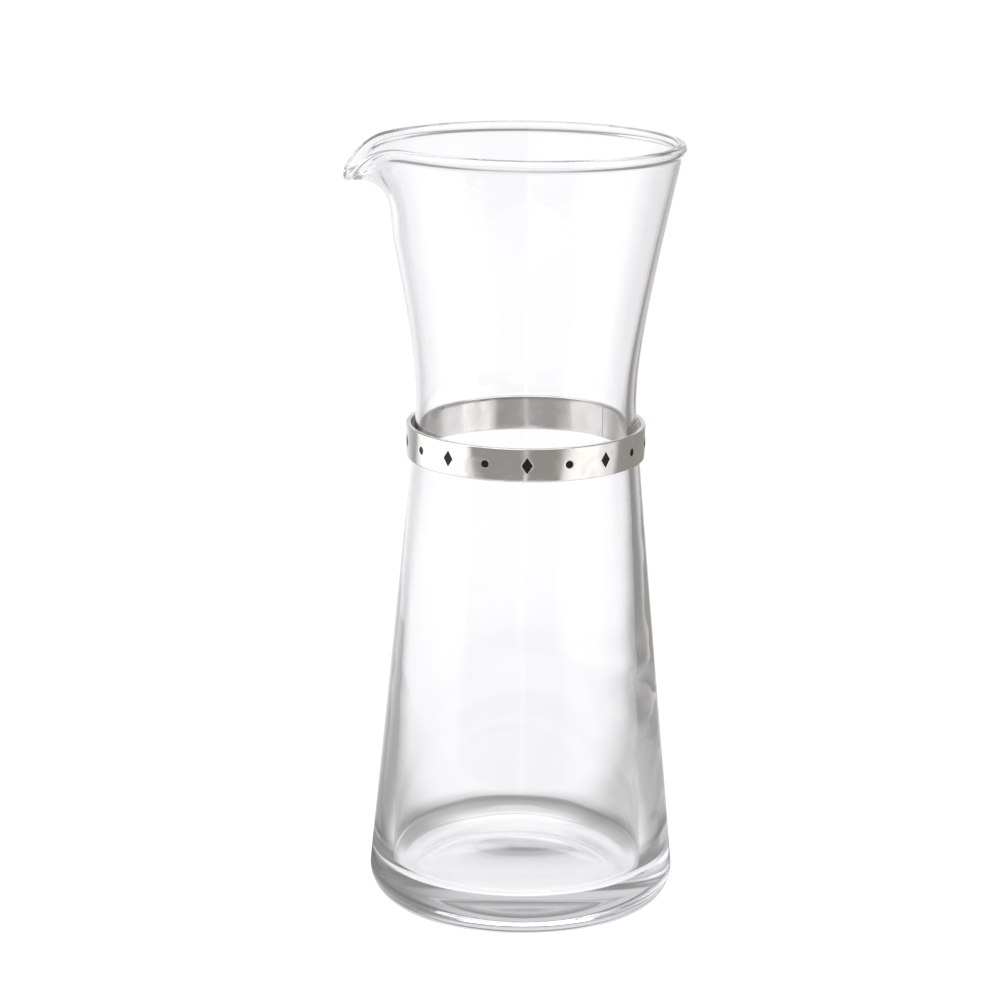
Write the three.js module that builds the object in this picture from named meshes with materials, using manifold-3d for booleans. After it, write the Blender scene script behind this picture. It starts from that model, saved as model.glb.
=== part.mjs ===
// A waisted glass wine carafe with a pulled pouring spout, and a loose metal band that rests
// on the lower cone just under the waist. The band is a strip rolled into a ring, with a row
// of engraved marks filled with black enamel.
// Millimetres, +Z up. The underside is on Z = 0, the axis is Z, and the spout points to -X.
import * as THREE from "three";
import { mergeVertices } from "three/addons/utils/BufferGeometryUtils.js";
import Module from "manifold-3d";

// Glass, outside sizes
const carafeHeight = 250;
const baseDiameter = 99.4; // outside, where the wall runs into the heel
const heelRadius = 10.6; // rounding from the wall to the flat underside
const waistDiameter = 70.9; // outside, at the narrowest place
const waistHeight = 165.4;
const lowerBend = 3.7; // the smaller, the sharper the cone turns into the waist
const upperBend = 25.6; // the smaller, the sharper the waist turns into the flare

// Glass, walls
const wallThickness = 2.4; // at the waist
const rimWall = 1.2; // just under the rim bead
const baseWall = 7.8; // where the inner wall meets the floor's corner
const thickenStart = 140; // height below which the wall grows thicker towards the base
const thickenBend = 30; // the smaller, the sharper that growth sets in
const floorThickness = 14.5;
const floorCorner = 4.5; // rounding from the inner wall to the inner floor
const rimDiameter = 97; // across the middle of the rim bead
const rimBead = 2.94; // thickness of the fire-polished rim
const beadRun = 2.6; // length over which the wall swells into the bead

// Spout: the rim is pulled out and down, and the wall under it is drawn in a little
const spoutReach = 8.9; // how far the lip stands out past the rim circle
const spoutDrop = 9.8; // how far the lip lies below the rim
const spoutDepth = 30.8; // height of wall that the spout is pulled from
const spoutHalfWidth = 14.9; // along the rim, where the reach has faded to 1/e
const dipHalfWidth = 11.9; // along the rim, where the drop has faded to 1/e
const throatDraw = 1.4; // how far the wall under the lip is drawn in
const shoulderRise = 0.5; // how far the rim beside the spout stands up
const shoulderHalfWidth = 50.8; // along the rim, where that rise has faded to 1/e
const lipCurl = 6; // power of the outward curve: higher turns out nearer the lip
const dipCurve = 2.6; // power of the downward curve

// Band
const bandHeight = 10.6;
const bandThickness = 1.6;
const bandBelowWaist = 6; // from the waist down to the band's top edge
const bandFit = 0.3; // radial clearance between the band's lower edge and the glass it sits on
const bandEdge = 0.25; // chamfer of the outer edges
const seamGap = 0.5; // slit between the two ends of the rolled strip
const seamAngle = THREE.MathUtils.degToRad(33.5);

// Marks on the band
const markCount = 18;
const lozengeWidth = 3.6;
const lozengeHeight = 5.2;
const dotDiameter = 2.5;
const engravingDepth = 0.7;
const enamelThickness = 0.5;
const enamelFit = 0.15; // clearance of the enamel to the sides of its engraving
const enamelSink = 0.05; // how far the enamel's face lies under the metal's

// Mesh fineness
const coarseStep = THREE.MathUtils.degToRad(6);
const fineStep = THREE.MathUtils.degToRad(3);
const fineReach = THREE.MathUtils.degToRad(45); // either side of the spout
const arcSteps = 5;
const beadSteps = 6;
const lowerSteps = 6;
const upperSteps = 6;
const spoutSteps = 7;
const beadRunSteps = 2;
const bandSegments = 72;
const dotArcSteps = 8;

const rimHeight = carafeHeight - rimBead / 2;
const spoutStart = rimHeight - spoutDepth;
const waistMiddle = (waistDiameter - wallThickness) / 2;
const baseMiddle = (baseDiameter - wallThickness) / 2;
const rimMiddle = rimDiameter / 2;

const wasm = await Module();
wasm.setup();

// Solids for the cuts

function solidOf(geometry) {
  const bare = geometry.clone();
  bare.deleteAttribute("normal");
  bare.deleteAttribute("uv");
  const merged = mergeVertices(bare, 1e-4);
  return new wasm.Manifold(
    new wasm.Mesh({
      numProp: 3,
      vertProperties: new Float32Array(merged.attributes.position.array),
      triVerts: new Uint32Array(merged.index.array),
    }),
  );
}

function geometryOf(solid) {
  const cut = solid.getMesh();
  const geometry = new THREE.BufferGeometry();
  geometry.setAttribute("position", new THREE.BufferAttribute(cut.vertProperties, 3));
  geometry.setIndex(new THREE.BufferAttribute(cut.triVerts, 1));
  geometry.computeVertexNormals();
  return geometry;
}

function named(name, geometry, look) {
  const mesh = new THREE.Mesh(geometry, new THREE.MeshStandardMaterial(look));
  mesh.name = name;
  return mesh;
}

// The wall's middle line is a hyperbola arm below the waist and another above it: both are
// level at the waist and run out to straight cones.

function armHeight(distance, bend) {
  return Math.hypot(distance, bend) - bend;
}

const lowerSlope = (baseMiddle - waistMiddle) / armHeight(waistHeight - heelRadius, lowerBend);
const upperSlope = (rimMiddle - waistMiddle) / armHeight(rimHeight - waistHeight, upperBend);

function middleRadius(z) {
  const distance = z - waistHeight;
  return distance < 0
    ? waistMiddle + lowerSlope * armHeight(distance, lowerBend)
    : waistMiddle + upperSlope * armHeight(distance, upperBend);
}

function outsideRadius(z) {
  const tiny = 0.01;
  const slope = (middleRadius(z + tiny) - middleRadius(z - tiny)) / (2 * tiny);
  return middleRadius(z) + (wallThickness / 2) * Math.hypot(1, slope);
}

function fade(arc, halfWidth) {
  return Math.exp(-((arc / halfWidth) ** 2));
}

// The middle line at one angle from the spout, pulled out and down towards the lip

function middlePoint(z, angle) {
  const arc = angle * rimMiddle;
  const share = THREE.MathUtils.clamp((z - spoutStart) / spoutDepth, 0, 1);
  const draw = throatDraw * 16 * share ** 2 * (1 - share) ** 2;
  const out = fade(arc, spoutHalfWidth) * (spoutReach * share ** lipCurl - draw);
  const down = spoutDrop * fade(arc, dipHalfWidth) * share ** dipCurve;
  const rise = shoulderRise * fade(arc, shoulderHalfWidth) * share ** 2;
  return new THREE.Vector2(middleRadius(z) + out, z - down + rise);
}

// The middle point, the way up the wall and the outward normal there

function wallFrame(z, angle) {
  const tiny = 0.05;
  const point = middlePoint(z, angle);
  const along = point.clone().sub(middlePoint(z - tiny, angle)).normalize();
  return { point, along, outward: new THREE.Vector2(along.y, -along.x) };
}

// Half the wall: it thins out from the waist to the rim, and swells into the bead

function halfWall(z) {
  const climb = THREE.MathUtils.clamp((z - waistHeight) / (rimHeight - waistHeight), 0, 1);
  const swell = THREE.MathUtils.smoothstep(z, rimHeight - beadRun, rimHeight);
  return (THREE.MathUtils.lerp(wallThickness, rimWall, climb) + (rimBead - rimWall) * swell) / 2;
}

// Extra wall on the inside: none above its start, then a hyperbola arm down to the floor

const cornerTop = floorThickness + floorCorner;
const thickenRate =
  (baseWall - wallThickness) / armHeight(thickenStart - cornerTop, thickenBend);

function thickening(z) {
  return thickenRate * armHeight(Math.max(thickenStart - z, 0), thickenBend);
}

// Heights from start to end: a power over 1 crowds them at the start, under 1 at the end

function stations(start, end, steps, power) {
  return Array.from({ length: steps + 1 }, (_, i) => start + (end - start) * (i / steps) ** power);
}

// Heights of the wall's stations, from where the heel or the floor corner ends up to the rim

function wallHeights(lowest) {
  const lower = stations(waistHeight, lowest, lowerSteps, 3).reverse();
  const upper = stations(waistHeight, spoutStart, upperSteps, 1).slice(1);
  const spout = stations(spoutStart, rimHeight - beadRun, spoutSteps, 0.7).slice(1);
  const swell = stations(rimHeight - beadRun, rimHeight, beadRunSteps, 1).slice(1);
  return [...lower, ...upper, ...spout, ...swell];
}

// A corner arc from the wall's normal round to straight down

function cornerArc(centre, radius, lean) {
  return Array.from({ length: arcSteps }, (_, i) => {
    const turn = THREE.MathUtils.lerp(lean, -Math.PI / 2, (i + 1) / arcSteps);
    return new THREE.Vector2(
      centre.x + radius * Math.cos(turn),
      centre.y + radius * Math.sin(turn),
    );
  });
}

// One half section of the glass: underside, heel, outer wall, bead, inner wall, corner, floor

function glassSection(angle) {
  const half = wallThickness / 2;
  const lean = Math.atan(lowerSlope);
  const growth = thickening(cornerTop - half) - thickening(cornerTop + half);
  const innerLean = Math.atan(lowerSlope - growth / wallThickness);
  const outerLowest = heelRadius + (heelRadius - half) * Math.sin(lean);
  const innerLowest = cornerTop + floorCorner * Math.sin(innerLean) + half * Math.sin(lean);
  const offset = (z, side) => {
    const { point, outward } = wallFrame(z, angle);
    point.addScaledVector(outward, side * halfWall(z));
    if (side < 0) point.x -= thickening(z);
    return point;
  };
  const outer = wallHeights(outerLowest).map((z) => offset(z, 1));
  const inner = wallHeights(innerLowest)
    .map((z) => offset(z, -1))
    .reverse();
  const rim = wallFrame(rimHeight, angle);
  const bead = Array.from({ length: beadSteps - 1 }, (_, i) => {
    const turn = (Math.PI * (i + 1)) / beadSteps;
    return rim.point
      .clone()
      .addScaledVector(rim.outward, (Math.cos(turn) * rimBead) / 2)
      .addScaledVector(rim.along, (Math.sin(turn) * rimBead) / 2);
  });
  const normal = (turn) => new THREE.Vector2(Math.cos(turn), Math.sin(turn));
  const heelCentre = outer[0].clone().addScaledVector(normal(lean), -heelRadius);
  const cornerCentre = inner.at(-1).clone().addScaledVector(normal(innerLean), -floorCorner);
  const heel = cornerArc(heelCentre, heelRadius, lean).reverse();
  const corner = cornerArc(cornerCentre, floorCorner, innerLean);
  return [...heel, ...outer, ...bead, ...inner, ...corner];
}

// Angles from the spout all round, closer together beside it

function sectionAngles() {
  const fine = Math.round((2 * fineReach) / fineStep);
  const coarse = Math.round((2 * Math.PI - 2 * fineReach) / coarseStep);
  const near = stations(-fineReach, fineReach, fine, 1).slice(0, -1);
  const far = stations(fineReach, 2 * Math.PI - fineReach, coarse, 1).slice(0, -1);
  return [...near, ...far];
}

function glassGeometry() {
  const angles = sectionAngles();
  const positions = [];
  let rows = 0;
  for (const angle of angles) {
    const wrapped = Math.atan2(Math.sin(angle), Math.cos(angle));
    const section = glassSection(wrapped);
    rows = section.length;
    for (const { x, y } of section) {
      positions.push(-x * Math.cos(angle), -x * Math.sin(angle), y);
    }
  }
  const triangles = [];
  const underside = positions.length / 3;
  positions.push(0, 0, 0);
  const floor = underside + 1;
  positions.push(0, 0, floorThickness);
  angles.forEach((_, column) => {
    const here = column * rows;
    const next = ((column + 1) % angles.length) * rows;
    triangles.push(underside, next, here);
    for (let row = 0; row < rows - 1; row += 1) {
      triangles.push(here + row, next + row, next + row + 1);
      triangles.push(here + row, next + row + 1, here + row + 1);
    }
    triangles.push(here + rows - 1, next + rows - 1, floor);
  });
  const geometry = new THREE.BufferGeometry();
  geometry.setAttribute("position", new THREE.Float32BufferAttribute(positions, 3));
  geometry.setIndex(triangles);
  geometry.computeVertexNormals();
  return geometry;
}

// Band and its marks. Heights are measured from the band's lower edge.

const bandSeat = waistHeight - bandBelowWaist - bandHeight;
const bandInside = outsideRadius(bandSeat) + bandFit;
const bandOutside = bandInside + bandThickness;
const markPitch = (2 * Math.PI) / markCount;

// Even marks are dots and odd ones lozenges, with the seam midway between two marks

function markAngle(index) {
  return seamAngle + (index + 0.5) * markPitch;
}

function markShape(index, inset) {
  const shape = new THREE.Shape();
  if (index % 2 === 0) return shape.absarc(0, 0, dotDiameter / 2 - inset, 0, 2 * Math.PI);
  const side = Math.hypot(lozengeWidth, lozengeHeight);
  const shrink = 1 - (2 * inset * side) / (lozengeWidth * lozengeHeight);
  const across = (lozengeWidth / 2) * shrink;
  const up = (lozengeHeight / 2) * shrink;
  shape.moveTo(across, 0);
  shape.lineTo(0, up);
  shape.lineTo(-across, 0);
  shape.lineTo(0, -up);
  return shape;
}

// A mark's prism on the +X side of the band, standing out along +X from the given radius

function markPrism(index, inset, fromRadius, toRadius) {
  const prism = new THREE.ExtrudeGeometry(markShape(index, inset), {
    depth: toRadius - fromRadius,
    bevelEnabled: false,
    curveSegments: dotArcSteps,
  });
  prism.rotateX(Math.PI / 2);
  prism.rotateZ(Math.PI / 2);
  return prism.translate(fromRadius, 0, bandHeight / 2);
}

// A strip rolled into a ring, with its slit and one engraving for each mark

function bandGeometry() {
  const profile = [
    [bandInside, 0],
    [bandOutside - bandEdge, 0],
    [bandOutside, bandEdge],
    [bandOutside, bandHeight - bandEdge],
    [bandOutside - bandEdge, bandHeight],
    [bandInside, bandHeight],
    [bandInside, 0],
  ].map(([radius, height]) => new THREE.Vector2(radius, height));
  const ring = new THREE.LatheGeometry(profile, bandSegments).rotateX(Math.PI / 2);
  const slit = new THREE.BoxGeometry(4 * bandThickness, seamGap, 2 * bandHeight);
  slit.translate((bandInside + bandOutside) / 2, 0, bandHeight / 2).rotateZ(seamAngle);
  let strip = solidOf(ring).subtract(solidOf(slit));
  for (let index = 0; index < markCount; index += 1) {
    const bottom = bandOutside - engravingDepth;
    const cutter = markPrism(index, 0, bottom, bandOutside + bandThickness);
    strip = strip.subtract(solidOf(cutter.rotateZ(markAngle(index))));
  }
  return geometryOf(strip);
}

const glassLook = { color: 0xe9ebf2, roughness: 0.03, metalness: 0, transparent: true, opacity: 0.35 };
const metalLook = { color: 0xb4aea7, roughness: 0.22, metalness: 1 };
const enamelLook = { color: 0x121214, roughness: 0.4, metalness: 0 };

const carafe = new THREE.Group();
carafe.add(named("carafe_glass", glassGeometry(), glassLook));

const collar = new THREE.Group();
collar.position.z = bandSeat;
collar.add(named("collar_band", bandGeometry(), metalLook));
for (let index = 0; index < markCount; index += 1) {
  const face = bandOutside - enamelSink;
  const fill = markPrism(index, enamelFit, face - enamelThickness, face);
  const number = String(Math.floor(index / 2) + 1).padStart(2, "0");
  const kind = index % 2 === 0 ? "dot" : "lozenge";
  const mark = named(`enamel_${kind}_${number}`, fill, enamelLook);
  mark.rotation.z = markAngle(index);
  collar.add(mark);
}
carafe.add(collar);

export default carafe;
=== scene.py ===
import math

import bpy
import numpy as np
from mathutils import Matrix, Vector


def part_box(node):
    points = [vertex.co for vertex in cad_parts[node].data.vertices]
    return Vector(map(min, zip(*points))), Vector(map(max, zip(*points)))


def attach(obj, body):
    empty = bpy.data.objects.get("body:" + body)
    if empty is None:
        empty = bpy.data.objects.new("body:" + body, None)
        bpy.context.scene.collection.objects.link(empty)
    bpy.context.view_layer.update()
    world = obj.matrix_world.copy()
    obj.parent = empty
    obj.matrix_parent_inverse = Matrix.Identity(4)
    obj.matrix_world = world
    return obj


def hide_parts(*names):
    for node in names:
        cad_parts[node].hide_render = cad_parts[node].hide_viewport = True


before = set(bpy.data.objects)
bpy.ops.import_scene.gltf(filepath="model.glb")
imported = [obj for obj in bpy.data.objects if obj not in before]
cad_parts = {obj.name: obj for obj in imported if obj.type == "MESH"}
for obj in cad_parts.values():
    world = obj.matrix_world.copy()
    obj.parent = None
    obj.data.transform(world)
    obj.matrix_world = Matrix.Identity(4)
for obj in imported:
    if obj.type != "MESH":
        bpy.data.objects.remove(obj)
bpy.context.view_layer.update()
scene = bpy.context.scene
scene.view_settings.view_transform = "Standard"
millimetre = 0.001  # shapes are worked out in millimetres, meshes are in metres


# Camera

cameraView = {
    "place": (-141.2, -1083.9, 397.1),  # mm from the middle of the underside
    "turn": -7.0,  # degrees from +Y, to the left
    "tilt": 13.57,  # degrees down
    "roll": 0.59,
    "lens": 125.2,  # mm
    "frameWidth": 36.0,  # mm
    "farthest": 100.0,  # m
}


def makeCamera(view):
    # level heading from the turn, then tilted down, then rolled about the line of sight
    turn, tilt, roll = np.radians([view["turn"], view["tilt"], view["roll"]])
    right = np.array([np.cos(turn), np.sin(turn), 0])
    level = np.array([-np.sin(turn), np.cos(turn), 0])
    plumb = np.array([0, 0, 1])
    ahead = np.cos(tilt) * level - np.sin(tilt) * plumb
    up = np.sin(tilt) * level + np.cos(tilt) * plumb
    rolledRight = np.cos(roll) * right + np.sin(roll) * up
    rolledUp = np.cos(roll) * up - np.sin(roll) * right
    place = np.array(view["place"]) * millimetre
    lens = bpy.data.cameras.new("camera")
    lens.sensor_fit = "HORIZONTAL"
    lens.sensor_width = view["frameWidth"]
    lens.lens = view["lens"]
    lens.clip_end = view["farthest"]
    camera = bpy.data.objects.new("camera", lens)
    axes = np.eye(4)
    axes[:3] = np.stack([rolledRight, rolledUp, -ahead, place], axis=1)
    camera.matrix_world = Matrix(axes.tolist())
    scene.collection.objects.link(camera)
    scene.camera = camera


makeCamera(cameraView)
print("camera set")


# Mesh helpers

def gridFaces(rows, columns, closed):
    # quads of a grid of points stored row by row; closed joins the last column to the first
    index = np.arange(rows * columns).reshape(rows, columns)
    here = index if closed else index[:, :-1]
    beside = np.roll(index, -1, axis=1) if closed else index[:, 1:]
    return np.stack([here[:-1], beside[:-1], beside[1:], here[1:]], axis=-1).reshape(-1, 4)


def fanFaces(pole, ring, outward):
    # triangles from one pole to a closed ring of points
    beside = np.roll(ring, -1)
    middle = np.full_like(ring, pole)
    order = [ring, beside, middle] if outward else [middle, beside, ring]
    return np.stack(order, axis=-1)


def weld(points, faces):
    # points that share a place, to a hundredth of a micrometre, become one
    keys = np.round(points * 1e5).astype(np.int64)
    _, first, same = np.unique(keys, axis=0, return_index=True, return_inverse=True)
    same = same.ravel()
    return first, [same[block] for block in faces]


def makePiece(name, points, faces, material, creaseAngle=50, strip=None):
    # a smooth piece, creased past an angle in degrees; strip gives each point its place on a flat map
    mesh = bpy.data.meshes.new(name)
    corners = [corner for block in faces for corner in block.tolist()]
    mesh.from_pydata((points * millimetre).tolist(), [], corners)
    mesh.polygons.foreach_set("use_smooth", np.ones(len(mesh.polygons), bool))
    mesh.set_sharp_from_angle(angle=math.radians(creaseAngle))
    if strip is not None:
        layer = mesh.uv_layers.new(name="strip")
        vertex = np.empty(len(mesh.loops), np.int32)
        mesh.loops.foreach_get("vertex_index", vertex)
        layer.data.foreach_set("uv", strip[vertex].astype(np.float32).ravel())
    mesh.materials.append(material)
    piece = bpy.data.objects.new(name, mesh)
    scene.collection.objects.link(piece)
    return piece


def smoothstep(value, low, high):
    # 0 up to low, 1 from high on, and a soft step between them
    share = np.clip((value - low) / (high - low), 0, 1)
    return share * share * (3 - 2 * share)


# Node helpers

def newMaterial(name):
    material = bpy.data.materials.new(name)
    material.use_nodes = True
    material.node_tree.nodes.clear()
    return material, material.node_tree


def addNode(tree, kind, place, feeds=None, **settings):
    # feeds go to the inputs by name or number: an output of another node is linked, a value is set
    node = tree.nodes.new(kind)
    node.location = place
    for setting, value in settings.items():
        setattr(node, setting, value)
    for name, value in (feeds or {}).items():
        if isinstance(value, bpy.types.NodeSocket):
            tree.links.new(value, node.inputs[name])
        else:
            node.inputs[name].default_value = value
    return node


def mathNode(tree, operation, first, second, place):
    return addNode(tree, "ShaderNodeMath", place, {0: first, 1: second}, operation=operation).outputs[0]


def vectorNode(tree, operation, feeds, place):
    return addNode(tree, "ShaderNodeVectorMath", place, feeds, operation=operation).outputs


def splitVector(tree, vector, place):
    return addNode(tree, "ShaderNodeSeparateXYZ", place, {0: vector}).outputs


def noiseNode(tree, vector, look, place):
    return addNode(tree, "ShaderNodeTexNoise", place, {"Vector": vector, **look}).outputs[0]


def rampNode(tree, value, ends, place, kind="LINEAR"):
    # the stretch between the first two ends becomes the one between the other two
    feeds = dict(zip(("Value", "From Min", "From Max", "To Min", "To Max"), (value, *ends)))
    return addNode(tree, "ShaderNodeMapRange", place, feeds, interpolation_type=kind).outputs[0]


def smoothRamp(tree, value, ends, place):
    return rampNode(tree, value, ends, place, "SMOOTHSTEP")


def blendColours(tree, share, first, second, place):
    feeds = {0: share, 6: first, 7: second}
    return addNode(tree, "ShaderNodeMix", place, feeds, data_type="RGBA").outputs[2]


def blendValues(tree, share, first, second, place):
    feeds = {"Factor": share, "A": first, "B": second}
    return addNode(tree, "ShaderNodeMix", place, feeds).outputs["Result"]


def blendShaders(tree, share, first, second, place):
    return addNode(tree, "ShaderNodeMixShader", place, {0: share, 1: first, 2: second}).outputs[0]


def bumpNode(tree, height, strength, depth, place):
    # depth in mm
    feeds = {"Strength": strength, "Distance": depth * millimetre, "Height": height}
    return addNode(tree, "ShaderNodeBump", place, feeds).outputs["Normal"]


smudgeLook = {
    "cloud": {"Detail": 3.0, "Roughness": 0.55, "Distortion": 0.6},
    "grit": {"Detail": 2.0, "Roughness": 0.6},
    "gritFiner": 9.0,  # times the clouds' scale
    "clearBelow": 0.42,  # cloud noise where the marks begin
    "fullAbove": 0.68,
    "strength": 1.8,
}


def makeSmudgeGroup(look):
    # cloudy hand marks: soft noise broken up by finer noise, as a mask and a height
    tree = bpy.data.node_groups.new("smudges", "ShaderNodeTree")
    face = tree.interface
    face.new_socket("Vector", in_out="INPUT", socket_type="NodeSocketVector")
    face.new_socket("Scale", in_out="INPUT", socket_type="NodeSocketFloat")
    face.new_socket("Mask", in_out="OUTPUT", socket_type="NodeSocketFloat")
    face.new_socket("Height", in_out="OUTPUT", socket_type="NodeSocketFloat")
    inputs = addNode(tree, "NodeGroupInput", (-800, 0)).outputs
    vector, scale = inputs["Vector"], inputs["Scale"]
    finer = mathNode(tree, "MULTIPLY", scale, look["gritFiner"], (-680, -160))
    cloud = noiseNode(tree, vector, {"Scale": scale, **look["cloud"]}, (-500, 120))
    grit = noiseNode(tree, vector, {"Scale": finer, **look["grit"]}, (-500, -160))
    spread = rampNode(tree, cloud, (look["clearBelow"], look["fullAbove"], 0.0, 1.0), (-260, 120))
    broken = mathNode(tree, "MULTIPLY", spread, grit, (-60, 60))
    mask = mathNode(tree, "MULTIPLY", broken, look["strength"], (120, 60))
    addNode(tree, "NodeGroupOutput", (400, 0), {"Mask": mask, "Height": cloud})
    return tree


smudgeGroup = makeSmudgeGroup(smudgeLook)


def placeSmudges(tree, vector, scale, place):
    feeds = {"Vector": vector, "Scale": scale}
    return addNode(tree, "ShaderNodeGroup", place, feeds, node_tree=smudgeGroup).outputs


# Glass

glassFinish = {
    "refraction": 1.5,
    "tint": (0.79, 0.79, 0.8, 1),  # what a thick piece keeps of red, green and blue
    "tintDensity": 14.0,  # per metre
    "straight": (0.93, 0.93, 0.94, 1),  # kept of shadow rays and of rays that go straight out
    "markScale": 28.0,  # of the hand marks, per metre
    "roughest": 0.012,  # inside hand marks
    "rippleNoise": {"Scale": 24.0, "Detail": 1.0},
    "ripple": 0.012,  # height of the slow unevenness, mm
    "reflections": 3,  # of one ray, after which it goes straight out of the glass
    "scuffInner": 32.0,  # radius where the foot ring's scuffs begin, mm
    "scuffEdge": 1.0,  # over which they begin, mm
    "scuffHeight": 0.35,  # how far they reach up the heel, mm
    "scuffed": 0.1,  # roughness there
}


def makeGlassMaterial(finish):
    material, tree = newMaterial("clear_glass")
    place = addNode(tree, "ShaderNodeTexCoord", (-1000, 0)).outputs["Object"]
    marks = placeSmudges(tree, place, finish["markScale"], (-760, 120))
    handled = mathNode(tree, "MULTIPLY", marks["Mask"], finish["roughest"], (-520, 160))
    # the ring that the carafe stands on is scuffed dull
    flat = vectorNode(tree, "MULTIPLY", {0: place, 1: (1, 1, 0)}, (-760, 480))["Vector"]
    reach = vectorNode(tree, "LENGTH", {0: flat}, (-600, 480))["Value"]
    height = splitVector(tree, place, (-760, 340))["Z"]
    inner, top = finish["scuffInner"] * millimetre, finish["scuffHeight"] * millimetre
    full = inner + finish["scuffEdge"] * millimetre
    isOut = smoothRamp(tree, reach, (inner, full, 0.0, finish["scuffed"]), (-440, 480))
    isLow = smoothRamp(tree, height, (top / 2, top, 1.0, 0.0), (-440, 320))
    scuffs = mathNode(tree, "MULTIPLY", isOut, isLow, (-260, 400))
    slow = noiseNode(tree, place, finish["rippleNoise"], (-760, -160))
    feeds = {
        "Base Color": (1, 1, 1, 1),
        "Metallic": 0.0,
        "Roughness": mathNode(tree, "ADD", handled, scuffs, (-120, 240)),
        "IOR": finish["refraction"],
        "Normal": bumpNode(tree, slow, 1.0, finish["ripple"], (-300, -160)),
        "Transmission Weight": 1.0,
    }
    glass = addNode(tree, "ShaderNodeBsdfPrincipled", (0, 100), feeds)
    clear = addNode(tree, "ShaderNodeBsdfTransparent", (0, -340), {"Color": finish["straight"]})
    # shadow rays, and rays that were reflected often enough, go straight through
    path = addNode(tree, "ShaderNodeLightPath", (-300, 420)).outputs
    often = finish["reflections"] - 0.5
    caught = mathNode(tree, "GREATER_THAN", path["Glossy Depth"], often, (-100, 420))
    through = mathNode(tree, "MAXIMUM", path["Is Shadow Ray"], caught, (100, 420))
    surface = blendShaders(tree, through, glass.outputs[0], clear.outputs[0], (320, 100))
    feeds = {"Color": finish["tint"], "Density": finish["tintDensity"]}
    tint = addNode(tree, "ShaderNodeVolumeAbsorption", (320, -160), feeds)
    addNode(tree, "ShaderNodeOutputMaterial", (560, 100), {"Surface": surface, "Volume": tint.outputs[0]})
    return material


glassMaterial = makeGlassMaterial(glassFinish)

glassShape = {
    "height": 250.0,
    "baseDiameter": 99.4,
    "heelRadius": 10.6,
    "waistDiameter": 70.9,
    "waistHeight": 165.4,
    "lowerBend": 3.7,
    "upperBend": 25.6,
    "wall": 2.4,
    "baseWall": 7.8,  # where the inner wall meets the floor's corner
    "thickenStart": 140.0,  # height below which the wall grows thicker
    "thickenBend": 30.0,
    "floor": 12.5,  # thickness under the dome
    "floorCorner": 4.5,
    "floorDome": 2.2,  # how far the middle of the inner floor is pushed up
    "cavityShift": (-1.0, 0.1),  # of the hollow, off the axis
    "shiftFades": (120.0, 200.0),  # heights between which the hollow comes back to the axis
    "rimDiameter": 97.0,  # of the middle of the wall
    "rimWall": 1.2,  # just under the bead
    "bead": 2.94,
    "beadRun": 2.6,
    "beadPower": 3.4,  # of the superellipse that the bead's section follows; 2 is a circle
    "beadLean": 0.42,  # how far the bead's top leans inwards, as a share of its radius
    "undersideHollow": 3.5,  # how far the middle of the underside is pushed up
    "hollowRadius": 34.5,
    "domeRadius": 35.0,
    "domeSoftness": 0.4,  # of its edge, as a share of its rise
    "hollowSoftness": 0.05,
    "hollowUnevenness": 0.65,  # how much shallower it is at the back, as a share
}
spoutShape = {
    "reach": 8.9,  # of the lip, outwards
    "drop": 9.8,  # of the lip, down
    "depth": 30.8,  # from the rim down to where the spout begins
    "halfWidth": 14.9,  # of the pull outwards, along the rim
    "dipHalfWidth": 11.9,
    "throatDraw": 1.4,  # how far the wall is drawn in under the lip
    "shoulderRise": 0.5,  # of the rim on either side of the lip
    "shoulderHalfWidth": 50.8,
    "lipCurl": 6.0,  # power of the pull's growth up the spout; more keeps it to the lip
    "dipCurve": 2.6,  # the same for the drop
}
glassWaves = {
    "height": 0.06,  # of the inner wall's unevenness, mm
    "lengths": (37.0, 23.0, 16.5, 11.0),  # from crest to crest up the wall, mm
    "turns": (1, -2, 3, 5),  # how many crests each wave passes on its way round
    "sway": 1.1,  # how far the crests are bent, as an angle of the wave
    "swayLength": 53.0,
    "swayTurns": 2,
    "offset": 0.4,  # between the waves, as an angle for each mm of their length
    "lowest": 22.0,
    "lowFade": 25.0,  # height over which the waves grow from there
    "highest": 150.0,
    "highFade": 50.0,
    "stronger": 1.8,  # on the side away from the spout, up to the first of the next two heights
    "strongTo": (80.0, 110.0),
    "farPower": 4,  # how closely that side is kept to
    "weaker": 0.7,  # on the spout's side
    "nearPower": 2,
    "dimple": 0.12,  # height of the short waves low on the side away from the spout, mm
    "dimpleLengths": (17.0, 12.0),
    "dimpleTurns": (9, -13),
    "dimplePower": 16,
    "dimplesTo": 96.0,
    "dimpleFades": (8.0, 35.0),  # at their lower and upper end
}
# columns round the glass, and rows on each stretch of its section
glassGrid = {
    "angles": 300,
    "crowding": 0.5,  # 0 spaces the columns evenly, more crowds them at the spout
    "arc": 20,
    "lower": 54,
    "lowerCrowding": 1.3,  # towards the waist
    "upper": 20,
    "spout": 22,
    "spoutCrowding": 0.7,  # towards the rim
    "neck": 8,
    "bead": 24,
    "rings": 24,
}

rimHeight = glassShape["height"] - glassShape["bead"] / 2
rimRadius = glassShape["rimDiameter"] / 2
waistRadius = (glassShape["waistDiameter"] - glassShape["wall"]) / 2
baseRadius = (glassShape["baseDiameter"] - glassShape["wall"]) / 2
spoutStart = rimHeight - spoutShape["depth"]


def armRise(distance, bend):
    # a hyperbola's arm, level where it starts
    return np.hypot(distance, bend) - bend


def armSlope(radius, distance, bend):
    # how steep an arm has to be to get from the waist to a radius over a distance
    return (radius - waistRadius) / armRise(distance, bend)


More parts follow.
